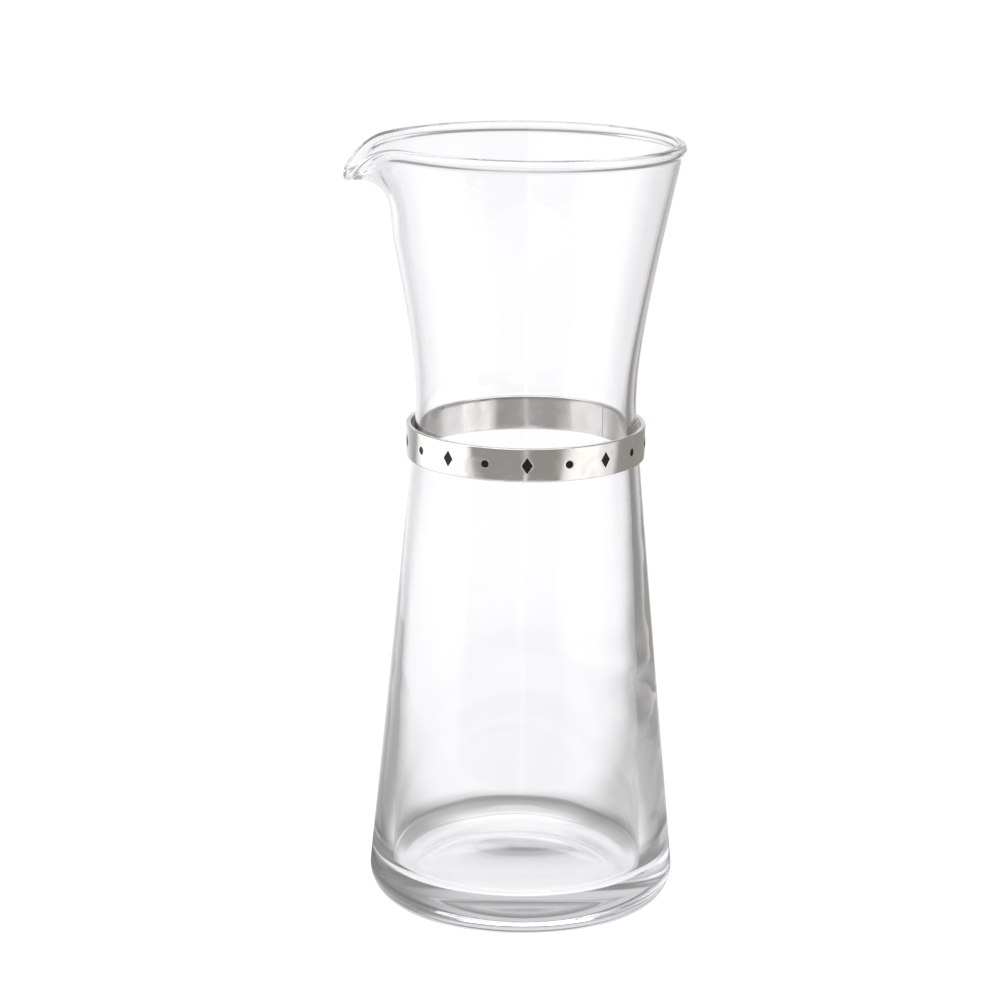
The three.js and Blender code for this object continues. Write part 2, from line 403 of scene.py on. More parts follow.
lowerReach = glassShape["waistHeight"] - glassShape["heelRadius"]
upperReach = rimHeight - glassShape["waistHeight"]
lowerSlope = armSlope(baseRadius, lowerReach, glassShape["lowerBend"])
upperSlope = armSlope(rimRadius, upperReach, glassShape["upperBend"])


def thickening(z):
    # extra wall towards the base: nothing above the start, then a hyperbola arm down to the floor's corner
    start, bend = glassShape["thickenStart"], glassShape["thickenBend"]
    cornerTop = glassShape["floor"] + glassShape["floorCorner"]
    rate = (glassShape["baseWall"] - glassShape["wall"]) / armRise(start - cornerTop, bend)
    return rate * armRise(np.maximum(start - z, 0), bend)


def middleRadius(z):
    # two hyperbola arms, level at the waist and running out to straight cones
    distance = z - glassShape["waistHeight"]
    below = lowerSlope * armRise(distance, glassShape["lowerBend"])
    above = upperSlope * armRise(distance, glassShape["upperBend"])
    return waistRadius + np.where(distance < 0, below, above)


def fade(arc, halfWidth):
    # a bell curve along the rim
    return np.exp(-((arc / halfWidth) ** 2))


def middleLine(z, angle):
    # the middle of the wall, pulled out and down towards the lip by bell curves along the rim;
    # the 16 makes the drawn-in throat whole at half the spout's depth
    arc = angle * rimRadius
    share = np.clip((z - spoutStart) / spoutShape["depth"], 0, 1)
    draw = spoutShape["throatDraw"] * 16 * share**2 * (1 - share) ** 2
    pull = spoutShape["reach"] * share ** spoutShape["lipCurl"] - draw
    drop = spoutShape["drop"] * share ** spoutShape["dipCurve"]
    rise = spoutShape["shoulderRise"] * share**2
    radius = middleRadius(z) + fade(arc, spoutShape["halfWidth"]) * pull
    height = z - fade(arc, spoutShape["dipHalfWidth"]) * drop
    return radius, height + fade(arc, spoutShape["shoulderHalfWidth"]) * rise


def wallFrame(z, angle):
    # a point of the middle line, the direction up the wall there and the one square to it, outwards
    tiny = 0.05
    radius, height = middleLine(z, angle)
    before = middleLine(z - tiny, angle)
    along = np.stack([radius - before[0], height - before[1]])
    along = along / np.hypot(along[0], along[1])
    return np.stack([radius, height]), along, np.stack([along[1], -along[0]])


def slantingWaves(z, angle, lengths, turnCounts):
    # sine waves of several lengths up the wall, each bent by another, that add up to no plain rhythm
    wave = 0
    for length, turns in zip(lengths, turnCounts):
        swaying = 2 * np.pi * z / glassWaves["swayLength"] + glassWaves["swayTurns"] * angle
        bend = glassWaves["sway"] * np.sin(swaying + length)
        start = glassWaves["offset"] * length
        strength = length / lengths[0]
        wave = wave + strength * np.sin(2 * np.pi * z / length + turns * angle + bend + start)
    return wave


def between(z, lowest, lowFade, highest, highFade):
    # 1 between two heights, fading to 0 at either
    return smoothstep(z, lowest, lowest + lowFade) * (1 - smoothstep(z, highest - highFade, highest))


def wallWave(z, angle):
    # slow waves all round, that fade out above the floor and at the waist, and short ones on one side
    lowest = glassWaves["lowest"]
    ends = between(z, lowest, glassWaves["lowFade"], glassWaves["highest"], glassWaves["highFade"])
    far = (1 - np.cos(angle)) / 2
    stronger = glassWaves["stronger"] * far ** glassWaves["farPower"]
    weaker = glassWaves["weaker"] * (1 - far) ** glassWaves["nearPower"]
    share = 1 + stronger * (1 - smoothstep(z, *glassWaves["strongTo"])) - weaker
    slow = slantingWaves(z, angle, glassWaves["lengths"], glassWaves["turns"])
    lowFade, highFade = glassWaves["dimpleFades"]
    reach = between(z, lowest, lowFade, glassWaves["dimplesTo"], highFade)
    reach = reach * far ** glassWaves["dimplePower"]
    dimples = slantingWaves(z, angle, glassWaves["dimpleLengths"], glassWaves["dimpleTurns"])
    return glassWaves["height"] * slow * ends * share + glassWaves["dimple"] * dimples * reach


def wallSide(z, angle, side):
    # the wall's outer or inner face: the middle line moved by half the thickness, which thins out above
    # the waist and swells into the bead; the inner face also has the thicker base and the waves
    point, _, outward = wallFrame(z, angle)
    wall, rimWall = glassShape["wall"], glassShape["rimWall"]
    climb = np.clip((z - glassShape["waistHeight"]) / (rimHeight - glassShape["waistHeight"]), 0, 1)
    swell = smoothstep(z, rimHeight - glassShape["beadRun"], rimHeight)
    thickness = wall + (rimWall - wall) * climb + (glassShape["bead"] - rimWall) * swell
    face = point + outward * side * thickness / 2
    if side < 0:
        face[0] = face[0] - thickening(z) + wallWave(z, angle)
    return face


def wallHeights(lowest):
    # rows of the wall from its lowest one to the rim
    waist = glassShape["waistHeight"]
    toWaist = np.linspace(1, 0, glassGrid["lower"] + 1) ** glassGrid["lowerCrowding"]
    lower = waist - (waist - lowest) * toWaist
    upper = np.linspace(waist, spoutStart, glassGrid["upper"] + 1)[1:]
    neckStart = rimHeight - glassShape["beadRun"]
    toRim = np.linspace(0, 1, glassGrid["spout"] + 1)[1:] ** glassGrid["spoutCrowding"]
    spout = spoutStart + (neckStart - spoutStart) * toRim
    neck = np.linspace(neckStart, rimHeight, glassGrid["neck"] + 1)[1:]
    return np.concatenate([lower, upper, spout, neck])[:, None]


def cornerArc(start, radius, lean):
    # an arc that leaves the wall square to its normal and ends level
    turn = np.linspace(lean, -np.pi / 2, glassGrid["arc"] + 1)[1:, None]
    centre = start - radius * np.array([np.cos(lean), np.sin(lean)])[:, None]
    across = centre[0] + radius * np.cos(turn)
    return np.stack([across, centre[1] + radius * np.sin(turn)])


def bowl(radius, reach, depth, softness):
    # a shallow bowl that falls with the square of the radius to a softened edge
    share = 1 - (radius / reach) ** 2
    return depth * (share + np.hypot(share, softness)) / 2


def hollowRise(radius, angle):
    # the underside's bowl, deeper towards the camera's side than at the back
    reach = glassShape["hollowRadius"]
    back = -radius * np.sin(angle) / reach
    depth = glassShape["undersideHollow"] * (1 - glassShape["hollowUnevenness"] * (1 + back) / 2)
    return bowl(radius, reach, depth, glassShape["hollowSoftness"])


def domeRise(radius):
    # the raised middle of the inner floor
    return bowl(radius, glassShape["domeRadius"], glassShape["floorDome"], glassShape["domeSoftness"])


def glassSurface():
    # a half section, from the underside round the bead to the inner floor, turned about the axis
    step = np.linspace(-np.pi, np.pi, glassGrid["angles"], endpoint=False)
    flat = (step - glassGrid["crowding"] * np.sin(step))[None, :]  # the spout is at angle 0
    lean = math.atan(lowerSlope)
    half = glassShape["wall"] / 2
    heelRadius, floorCorner = glassShape["heelRadius"], glassShape["floorCorner"]
    outerLowest = heelRadius + (heelRadius - half) * math.sin(lean)
    cornerTop = glassShape["floor"] + floorCorner
    halfStep = 0.5  # over which the inner wall's slope is taken
    steeper = (thickening(cornerTop - halfStep) - thickening(cornerTop + halfStep)) / (2 * halfStep)
    innerLean = math.atan(lowerSlope - steeper)
    innerLowest = cornerTop + floorCorner * math.sin(innerLean) + half * math.sin(lean)
    outer = wallSide(wallHeights(outerLowest), flat, 1)
    inner = wallSide(wallHeights(innerLowest), flat, -1)[:, ::-1]
    rim, along, outward = wallFrame(np.array([[rimHeight]]), flat)
    turn = np.linspace(0, np.pi, glassGrid["bead"] + 1)[1:-1, None]
    power = 2 / glassShape["beadPower"]
    over = np.sin(turn) ** power
    across = np.sign(np.cos(turn)) * np.abs(np.cos(turn)) ** power - glassShape["beadLean"] * over
    bead = rim + glassShape["bead"] / 2 * (across * outward + over * along)
    heel = cornerArc(outer[:, 0], heelRadius, lean)[:, ::-1]
    corner = cornerArc(inner[:, -1], floorCorner, innerLean)
    share = np.linspace(0, 1, glassGrid["rings"] + 1)[1:-1, None]
    under = np.stack([heel[0, :1] * share, heel[1, :1] + hollowRise(heel[0, :1] * share, flat)])
    floorRadius = corner[0, -1:] * share[::-1]
    floor = np.stack([floorRadius, corner[1, -1:] + domeRise(floorRadius)])
    section = np.concatenate([under, heel, outer, bead, inner, corner, floor], axis=1)
    rows, columns = section.shape[1:]
    radius, height = section
    shift = np.array(glassShape["cavityShift"])
    hollowRows = np.arange(rows)[:, None] >= rows - inner.shape[1] - corner.shape[1] - floor.shape[1]
    shifted = np.where(hollowRows, 1 - smoothstep(height, *glassShape["shiftFades"]), 0)
    x = shifted * shift[0] - radius * np.cos(flat)
    y = shifted * shift[1] - radius * np.sin(flat)
    points = np.stack([x, y, height], axis=-1).reshape(-1, 3)
    underPole = [0, 0, hollowRise(0.0, 0.0)]
    floorPole = [*shift, glassShape["floor"] + domeRise(0.0)]
    ring = np.arange(columns)
    faces = [
        gridFaces(rows, columns, True),
        fanFaces(rows * columns, ring, False),
        fanFaces(rows * columns + 1, ring + (rows - 1) * columns, True),
    ]
    return np.concatenate([points, [underPole, floorPole]]), faces


glassPoints, glassFaces = glassSurface()
glass = makePiece("glass", glassPoints, glassFaces, glassMaterial, creaseAngle=180)
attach(glass, "vessel")
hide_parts("carafe_glass")
print("glass made,", len(glass.data.polygons), "faces")


# Band metal

metalFinish = {
    "colour": (0.78, 0.765, 0.745, 1),
    "dulled": (0.6, 0.575, 0.535, 1),
    "dulledShare": 0.4,
    "smoothest": 0.09,
    "roughest": 0.26,
    "markScale": 0.16,  # of the smudges, per mm of the strip
    "scratchStretch": (0.05, 2.6, 1),  # along and across the strip
    "scratchNoise": {"Scale": 4.0, "Detail": 4.0, "Roughness": 0.7},
    "scratchDepth": 0.004,  # mm
}


def makeMetalMaterial(finish):
    material, tree = newMaterial("band_metal")
    place = addNode(tree, "ShaderNodeUVMap", (-1300, 0), uv_map="strip").outputs[0]
    smudged = placeSmudges(tree, place, finish["markScale"], (-1000, 200))["Mask"]
    feeds = {"Vector": place, "Scale": finish["scratchStretch"]}
    along = addNode(tree, "ShaderNodeMapping", (-1000, -120), feeds)
    lines = noiseNode(tree, along.outputs[0], finish["scratchNoise"], (-780, -120))
    dulled = mathNode(tree, "MULTIPLY", smudged, finish["dulledShare"], (-620, 340))
    roughness = (0.0, 1.0, finish["smoothest"], finish["roughest"])
    feeds = {
        "Base Color": blendColours(tree, dulled, finish["colour"], finish["dulled"], (-420, 340)),
        "Metallic": 1.0,
        "Roughness": rampNode(tree, smudged, roughness, (-420, 60)),
        "Normal": bumpNode(tree, lines, 1.0, finish["scratchDepth"], (-420, -200)),
    }
    metal = addNode(tree, "ShaderNodeBsdfPrincipled", (-100, 100), feeds)
    addNode(tree, "ShaderNodeOutputMaterial", (220, 100), {"Surface": metal.outputs[0]})
    return material


metalMaterial = makeMetalMaterial(metalFinish)

bandLow, bandHigh = (np.array(corner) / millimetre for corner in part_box("collar_band"))
bandShape = {
    "thickness": 1.6,
    "edgeRound": 0.3,
    "seamAngle": 33.5,  # degrees about the axis, from +X
    "seamGap": 0.5,
    "unevenness": 0.03,  # of the hand-rolled strip, mm
    # its waves: strength, angle per mm along the strip, per mm up it, and at the seam
    "waves": ((1.0, 0.33, 0.25, 0.0), (0.8, 0.57, -0.18, 1.3)),
    "crown": 0.04,  # how far the face bulges between its edges, mm
    "lean": (0.0018, 0.0148),  # rise of the loosely lying ring per mm along X and Y
}
markShape = {
    "count": 18,
    "lozengeWidth": 3.6,
    "lozengeHeight": 5.2,
    "dotDiameter": 2.5,
    "depth": 0.7,
    "softEdge": 0.07,  # rounding of the engraving's upper edge, mm
}
# points along and up the rim of a mark's cell, and rings or rows on each stretch from there
bandGrid = {
    "across": 16,
    "up": 12,
    "rings": 9,
    "crowding": 0.8,  # of the rings, towards the mark
    "softEdge": 3,
    "bottom": (1.0, 0.66, 0.33),  # rings across a mark's bottom, as shares of its outline
    "edge": 5,
    "inner": 8,
    "crease": 40,  # degrees
}

bandRadius = bandHigh[0]
bandHeight = bandHigh[2] - bandLow[2]
bandMiddle = (bandHigh[2] + bandLow[2]) / 2
markPitch = 2 * np.pi * bandRadius / markShape["count"]
faceHalf = bandHeight / 2 - bandShape["edgeRound"]


def rolled(along, up, depth):
    # a point of the flat strip rolled into the ring, from its length along the strip, its height over the
    # middle and its depth under the face
    wave = 0
    for strength, perAlong, perUp, start in bandShape["waves"]:
        wave = wave + strength * np.sin(perAlong * along + perUp * up + start)
    lift = bandShape["unevenness"] * wave - bandShape["crown"] * (up / faceHalf) ** 2
    radius = bandRadius - bandShape["unevenness"] - depth + lift
    angle = math.radians(bandShape["seamAngle"]) + along / bandRadius
    x, y = radius * np.cos(angle), radius * np.sin(angle)
    leanX, leanY = bandShape["lean"]
    place = [x, y, bandMiddle + up + leanX * x + leanY * y]
    return np.stack(np.broadcast_arrays(*place), axis=-1).reshape(-1, 3)


def cellEdge():
    # the rim of one mark's cell, anticlockwise from its lower right corner
    across = np.linspace(-0.5, 0.5, bandGrid["across"] + 1)[:-1] * markPitch
    up = np.linspace(-1, 1, bandGrid["up"] + 1)[:-1] * faceHalf
    sideX = np.full_like(up, markPitch / 2)
    sideY = np.full_like(across, faceHalf)
    x = np.concatenate([sideX, -across, -sideX, across])
    y = np.concatenate([up, sideY, -up, -sideY])
    return x, y


def markKind(number):
    # dots and lozenges take turns along the strip
    return "dot" if number % 2 == 0 else "lozenge"


def markReach(kind, turn, inset):
    # distance from the middle of a mark to its outline, for a circle or a lozenge
    if kind == "dot":
        return np.full_like(turn, markShape["dotDiameter"] / 2 - inset)
    halfWidth, halfHeight = markShape["lozengeWidth"] / 2, markShape["lozengeHeight"] / 2
    side = np.hypot(halfWidth, halfHeight)
    shrink = 1 - inset * side / (halfWidth * halfHeight)
    return shrink / (np.abs(np.cos(turn)) / halfWidth + np.abs(np.sin(turn)) / halfHeight)


def markCell(number):
    # rings from the cell's rim in to the mark's outline, over its soft edge, down its wall and across its
    # bottom
    kind = markKind(number)
    x, y = cellEdge()
    turn = np.arctan2(y, x)
    direction = np.stack([np.cos(turn), np.sin(turn)])
    soft, depth = markShape["softEdge"], markShape["depth"]
    outline = markReach(kind, turn, -soft) * direction
    share = np.linspace(0, 1, bandGrid["rings"] + 1)[:, None] ** bandGrid["crowding"]
    rimPart = np.stack([x + (outline[0] - x) * share, y + (outline[1] - y) * share])
    bend = np.linspace(0, np.pi / 2, bandGrid["softEdge"] + 1)[1:]
    edges = [markReach(kind, turn, -soft * (1 - np.sin(b))) * direction for b in bend]
    bottom = [markReach(kind, turn, 0.0) * direction * keep for keep in bandGrid["bottom"]]
    inward = np.stack(edges + bottom, axis=1)
    depths = [soft * (1 - np.cos(b)) for b in bend] + [depth] * len(bottom)
    flat = np.concatenate([rimPart, inward], axis=1)
    depths = np.concatenate([np.zeros(bandGrid["rings"] + 1), depths])[:, None]
    middle = (number + 0.5) * markPitch
    along = np.concatenate([(flat[0] + middle).ravel(), [middle]])
    up = np.concatenate([flat[1].ravel(), [0.0]])
    depths = np.concatenate([np.broadcast_to(depths, flat.shape[1:]).ravel(), [depth]])
    rows, columns = flat.shape[1:]
    ring = np.arange(columns) + (rows - 1) * columns
    return along, up, depths, [gridFaces(rows, columns, True), fanFaces(rows * columns, ring, True)]


def bandBack():
    # the rest of the strip's section: over the top edge, down the inside and under the lower edge
    roundness, thickness = bandShape["edgeRound"], bandShape["thickness"]
    bend = np.linspace(0, np.pi / 2, bandGrid["edge"] + 1)
    level = np.linspace(1, -1, bandGrid["inner"] + 1) * faceHalf
    far = thickness - roundness
    rise, run = roundness * np.sin(bend), roundness * np.cos(bend)
    up = [faceHalf + rise, faceHalf + run[:-1], level, -faceHalf - rise[1:], -faceHalf - run]
    depth = [roundness - run, far + rise[:-1], np.full_like(level, thickness)]
    depth += [far + run[1:], roundness - rise]
    up, depth = np.concatenate(up)[:, None], np.concatenate(depth)[:, None]
    columns = markShape["count"] * bandGrid["across"] + 1
    along = np.linspace(0, markShape["count"] * markPitch, columns)[None, :]
    along, up, depth = np.broadcast_arrays(along, up, depth)
    faces = gridFaces(up.shape[0], columns, False)
    return along.ravel(), up.ravel(), depth.ravel(), faces, up.shape[0]


def bandSurface():
    # the mark cells and the back of the strip, welded, with a flat cap at each end of the seam
    parts = [markCell(number) for number in range(markShape["count"])]
    back = bandBack()
    starts = np.cumsum([0] + [len(part[0]) for part in parts])
    faces = [block + start for part, start in zip(parts, starts) for block in part[3]]
    faces.append(back[3] + starts[-1])
    blocks = [*parts, back]
    along, up, depth = (np.concatenate([block[axis] for block in blocks]) for axis in range(3))
    length = markShape["count"] * markPitch
    rows = back[4]
    columns = len(back[0]) // rows
    edge = starts[-1] + np.arange(rows) * columns
    ends = [edge[::-1], edge + columns - 1]
    faceUp = np.linspace(-1, 1, bandGrid["up"] + 1)[1:-1] * faceHalf
    along = np.concatenate([along, np.zeros_like(faceUp), np.full_like(faceUp, length)])
    up = np.concatenate([up, faceUp, faceUp])
    depth = np.concatenate([depth, np.zeros(2 * len(faceUp))])
    inner = np.arange(len(along) - 2 * len(faceUp), len(along)).reshape(2, -1)
    startCap = np.concatenate([ends[0], inner[0][::-1]])[None]
    endCap = np.concatenate([ends[1], inner[1]])[None]
    flat = np.stack([along, up, depth], axis=-1)
    first, faces = weld(flat, faces + [startCap, endCap])
    gap = bandShape["seamGap"] / 2
    along = np.clip(flat[first, 0], gap, length - gap)
    strip = np.stack([along, flat[first, 1] + flat[first, 2]], axis=-1)
    return rolled(along, flat[first, 1], flat[first, 2]), faces, strip


bandPoints, bandFaces, bandStrip = bandSurface()
crease = bandGrid["crease"]
band = makePiece("band", bandPoints, bandFaces, metalMaterial, creaseAngle=crease, strip=bandStrip)
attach(band, "band")
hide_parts("collar_band")
print("band made,", len(band.data.polygons), "faces")


# Enamel in the band's engravings

enamelFinish = {
    "colour": (0.006, 0.006, 0.007, 1),
    "worn": (0.022, 0.021, 0.02, 1),
    "smoothest": 0.4,
    "roughest": 0.7,
    "shine": 0.25,
    "markScale": 900.0,  # of the worn patches, per metre
    "pitStrength": 0.6,
    "pitDepth": 0.02,  # mm
}


def makeEnamelMaterial(finish):
    material, tree = newMaterial("black_enamel")
    place = addNode(tree, "ShaderNodeTexCoord", (-1000, 0)).outputs["Object"]
    marks = placeSmudges(tree, place, finish["markScale"], (-760, 120))
    worn, height = marks["Mask"], marks["Height"]
    roughness = (0.0, 1.0, finish["smoothest"], finish["roughest"])
    feeds = {
        "Base Color": blendColours(tree, worn, finish["colour"], finish["worn"], (-420, 220)),
        "Roughness": rampNode(tree, worn, roughness, (-420, 0)),
        "Normal": bumpNode(tree, height, finish["pitStrength"], finish["pitDepth"], (-420, -240)),
        "Specular IOR Level": finish["shine"],
    }
    enamel = addNode(tree, "ShaderNodeBsdfPrincipled", (-100, 100), feeds)
    addNode(tree, "ShaderNodeOutputMaterial", (220, 100), {"Surface": enamel.outputs[0]})
    return material


enamelMaterial = makeEnamelMaterial(enamelFinish)

enamelShape = {
    "clearance": 0.05,  # to the side of the engraving, mm
    "sink": 0.06,  # of its face under the metal's
    "sag": 0.05,  # further at its middle
    "sagPower": 4,  # how flat the sagging middle is
    "edgeDrop": 0.04,  # from the face to the side
    "thickness": 0.5,
    "faceRings": (0.25, 0.5, 0.75, 0.9, 0.97),  # as shares of its outline
    "sideRings": (1.0, 1.0, 0.6),  # the upper and lower edge of the side, and one across the back
    "crease": 60,  # degrees
}


def enamelSurface(number):
    # rings from the middle of the face, a little dished, over the edge, down the side and across the back
    x, y = cellEdge()
    turn = np.arctan2(y, x)
    direction = np.stack([np.cos(turn), np.sin(turn)])
    reach = markReach(markKind(number), turn, enamelShape["clearance"]) * direction
    faceRings = np.array(enamelShape["faceRings"])
    keep = np.concatenate([faceRings, enamelShape["sideRings"]])[:, None]
    sink, sag = enamelShape["sink"], enamelShape["sag"]
    dished = sink + sag * (1 - faceRings ** enamelShape["sagPower"])
    back = sink + enamelShape["thickness"]
    depth = np.concatenate([dished, [sink + enamelShape["edgeDrop"], back, back]])[:, None]
    middle = (number + 0.5) * markPitch
    along = np.concatenate([(reach[0] * keep + middle).ravel(), [middle, middle]])
    up = np.concatenate([(reach[1] * keep).ravel(), [0.0, 0.0]])
    rows, columns = len(keep), len(turn)
    depth = np.broadcast_to(depth, (rows, columns)).ravel()
    depth = np.concatenate([depth, [sink + sag, back]])
    ring = np.arange(columns)
    faces = [
        gridFaces(rows, columns, True)[:, ::-1],
        fanFaces(rows * columns, ring, True),
        fanFaces(rows * columns + 1, ring + (rows - 1) * columns, False),
    ]
    return rolled(along, up, depth), faces


for number in range(markShape["count"]):
    fillPoints, fillFaces = enamelSurface(number)
    label = "%s_%02d" % (markKind(number), number // 2 + 1)
    crease = enamelShape["crease"]
    fill = makePiece("fill_" + label, fillPoints, fillFaces, enamelMaterial, creaseAngle=crease)
    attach(fill, "band")
    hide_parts("enamel_" + label)
print("enamel fills made,", markShape["count"])


# Studio: a white floor, cards that only reflections show, soft lamps and a white surround

studio = {
    "floorReach": 12.0,  # m
    "floorSides": 64,
    "floorDrop": 0.0002,  # under the glass, m
    "floorGlow": 0.93,  # on top of the lamps' light, for the camera
    "floorColour": (0.14, 0.14, 0.14, 1),
    "glassGlow": 1.04,  # brightest floor that the glass and the metal see, straight behind the object
    "lampShare": 0.11,  # of it, that the lamps give already
    "brightColour": (0.98, 0.974, 1.0, 1),
    "dimColour": (1.0, 0.985, 0.96, 1),
    "cardColumns": 33,
    "cardTopFade": 0.6,  # share of a card's height from which it fades out upwards
    "lampTarget": (0.0, 0.0, 0.12),
}
# the lit sweep behind the object as the glass sees it: degrees from straight behind, to the camera's right,
# where the white starts to fall off and where it has fallen to its least, and in front, to either side,
# where it goes over to an even level
sweep = {
    "right": {"start": 17, "end": 37, "least": 0.22},
    "left": {"start": -18, "end": -50, "least": 0.37},
    "front": {"start": 60, "end": 84, "level": 0.9},
}
# the painted contact shadow: a dim ring on the floor close round the base, that only the glass and the
# metal see, m from the axis
paintedShadowRing = {
    "under": 0.045,
    "underEdge": 0.01,
    "inner": 0.069,
    "outer": 0.075,
    "end": 0.094,
    "least": 0.22,
    "nearLevel": 0.88,  # where the ring ends
    "far": 0.4,  # where the floor is white again
}
# a painted pool of light: the brighter floor near the base, to its right: m from the axis, degrees as
# above, and its share of white
paintedLightPool = {"full": 0.12, "gone": 0.36, "start": 8, "end": 24, "share": 0.36}
# the room above the sweep, in two bands of elevation and then a ceiling: degrees and brightness
room = {
    "sweepTop": 7,
    "lowFrom": 13,
    "lowTo": 18,
    "highFrom": 23,
    "highTo": 58,
    "ceiling": 72,
    "ceilingLevel": 0.95,
}
# along each band, degrees as above: front is its brightness up to gone, level from end to full, and dim
# from start on, with soft steps between
lowBand = {"gone": -65, "end": -22, "full": 8, "start": 40, "front": 0.9, "level": 0.85, "dim": 0.34}
highBand = {"gone": -75, "end": -40, "full": 25, "start": 80, "front": 1.05, "level": 0.3, "dim": 0.36}
# directions are degrees round the axis from the camera's side, to its right; radius and heights are in m;
# soft is the share of a card over which it fades at its two ends; throughGlass shows it to a reflection
# that went on through glass
cards = {
    "softbox_left": {
        "from": -128, "to": -50, "radius": 0.42, "low": 0.0, "high": 0.6, "soft": (0.2, 0.12),
        "colour": (1.5, 1.5, 1.5, 1), "throughGlass": False,
    },
    "card_front": {
        "from": -52, "to": -1.2, "radius": 0.42, "low": 0.0, "high": 0.34, "soft": (0.1, 0.02),
        "colour": (0.37, 0.36, 0.35, 1), "throughGlass": True,
    },
    "card_beside": {
        "from": 1.2, "to": 38, "radius": 0.42, "low": 0.0, "high": 0.34, "soft": (0.03, 0.2),
        "colour": (0.35, 0.34, 0.32, 1), "throughGlass": True,
    },
    "softbox_right": {
        "from": 36, "to": 84, "radius": 0.4, "low": 0.0, "high": 0.4, "soft": (0.2, 0.3),
        "colour": (1.3, 1.29, 1.27, 1), "throughGlass": True,
    },
    "flag_right": {
        "from": 84, "to": 160, "radius": 0.3, "low": 0.0, "high": 0.6, "soft": (0.15, 0.15),
        "colour": (0.36, 0.35, 0.33, 1), "throughGlass": False,
    },
}


def glowMaterial(name, colour, soft):
    # an even glow that fades out over a share of the card at either end and at its top
    material, tree = newMaterial(name)
    place = addNode(tree, "ShaderNodeUVMap", (-900, 0), uv_map="strip").outputs[0]
    parts = splitVector(tree, place, (-700, 0))
    starts = smoothRamp(tree, parts["X"], (0.0, soft[0], 0.0, 1.0), (-500, 160))
    stops = smoothRamp(tree, parts["X"], (1.0 - soft[1], 1.0, 1.0, 0.0), (-500, 0))
    top = smoothRamp(tree, parts["Y"], (studio["cardTopFade"], 1.0, 1.0, 0.0), (-500, -160))
    ends = mathNode(tree, "MULTIPLY", starts, stops, (-300, 80))
    shape = mathNode(tree, "MULTIPLY", ends, top, (-140, 0))
    # only a reflection shows the card: straight through clear glass it isn't there
    path = addNode(tree, "ShaderNodeLightPath", (-500, -340)).outputs
    reflected = mathNode(tree, "GREATER_THAN", path["Glossy Depth"], 0.5, (-300, -260))
    mask = mathNode(tree, "MULTIPLY", shape, reflected, (-60, -40))
    glow = addNode(tree, "ShaderNodeEmission", (0, -120), {"Color": colour, "Strength": 1.0})
    clear = addNode(tree, "ShaderNodeBsdfTransparent", (0, 60))
    surface = blendShaders(tree, mask, clear.outputs[0], glow.outputs[0], (200, 0))
    addNode(tree, "ShaderNodeOutputMaterial", (400, 0), {"Surface": surface})
    material.cycles.emission_sampling = "NONE"
    return material


def makeCard(name, card):
    # an upright strip of a cylinder about the axis
    columns = studio["cardColumns"]
    toCamera = math.atan2(cameraView["place"][1], cameraView["place"][0])
    turn = toCamera + np.radians(np.linspace(card["from"], card["to"], columns))[None, :]
    level = np.array([[card["low"]], [card["high"]]]) / millimetre
    radius = card["radius"] / millimetre
    place = np.broadcast_arrays(radius * np.cos(turn), radius * np.sin(turn), level)
    points = np.stack(place, axis=-1).reshape(-1, 3)
    share = np.broadcast_arrays(np.linspace(0, 1, columns)[None, :], np.array([[0.0], [1.0]]))
    strip = np.stack(share, axis=-1).reshape(-1, 2)
    material = glowMaterial(name, card["colour"], card["soft"])
    piece = makePiece(name, points, [gridFaces(2, columns, False)], material, strip=strip)
    piece.visible_camera = False
    piece.visible_diffuse = False
    piece.visible_transmission = card["throughGlass"]
    piece.visible_shadow = False


def turnDegrees(tree, vector):
    # degrees round the axis from straight behind the object, to the camera's right
    feeds = {"Vector": vector, "Rotation": (0, 0, -math.radians(90 + cameraView["turn"]))}
    turned = addNode(tree, "ShaderNodeMapping", (-1700, 0), feeds)
    parts = splitVector(tree, turned.outputs[0], (-1500, 0))
    turn = mathNode(tree, "ARCTAN2", parts["Y"], parts["X"], (-1300, 0))
    return mathNode(tree, "MULTIPLY", turn, -180 / math.pi, (-1140, 0))


def sweepLevel(tree, degrees):
    # two soft falls, to the right and to the left, and a soft rise to an even level in front
    right, left, front = sweep["right"], sweep["left"], sweep["front"]
    away = mathNode(tree, "ABSOLUTE", degrees, 0.0, (-960, -260))
    rightLevel = smoothRamp(tree, degrees, (right["start"], right["end"], 1.0, right["least"]), (-780, 160))
    leftLevel = smoothRamp(tree, degrees, (left["end"], left["start"], left["least"], 1.0), (-780, -60))
    frontShare = smoothRamp(tree, away, (front["start"], front["end"], 0.0, 1.0), (-780, -300))
    both = mathNode(tree, "MULTIPLY", rightLevel, leftLevel, (-580, 60))
    return blendValues(tree, frontShare, both, front["level"], (-400, 0))


def glowColour(tree, level, isCamera, place):
    # cool where it is bright and warm where it is dim, and white for the camera
    colour = blendColours(tree, level, studio["dimColour"], studio["brightColour"], place)
    return blendColours(tree, isCamera, colour, (1, 1, 1, 1), (place[0] + 180, place[1]))


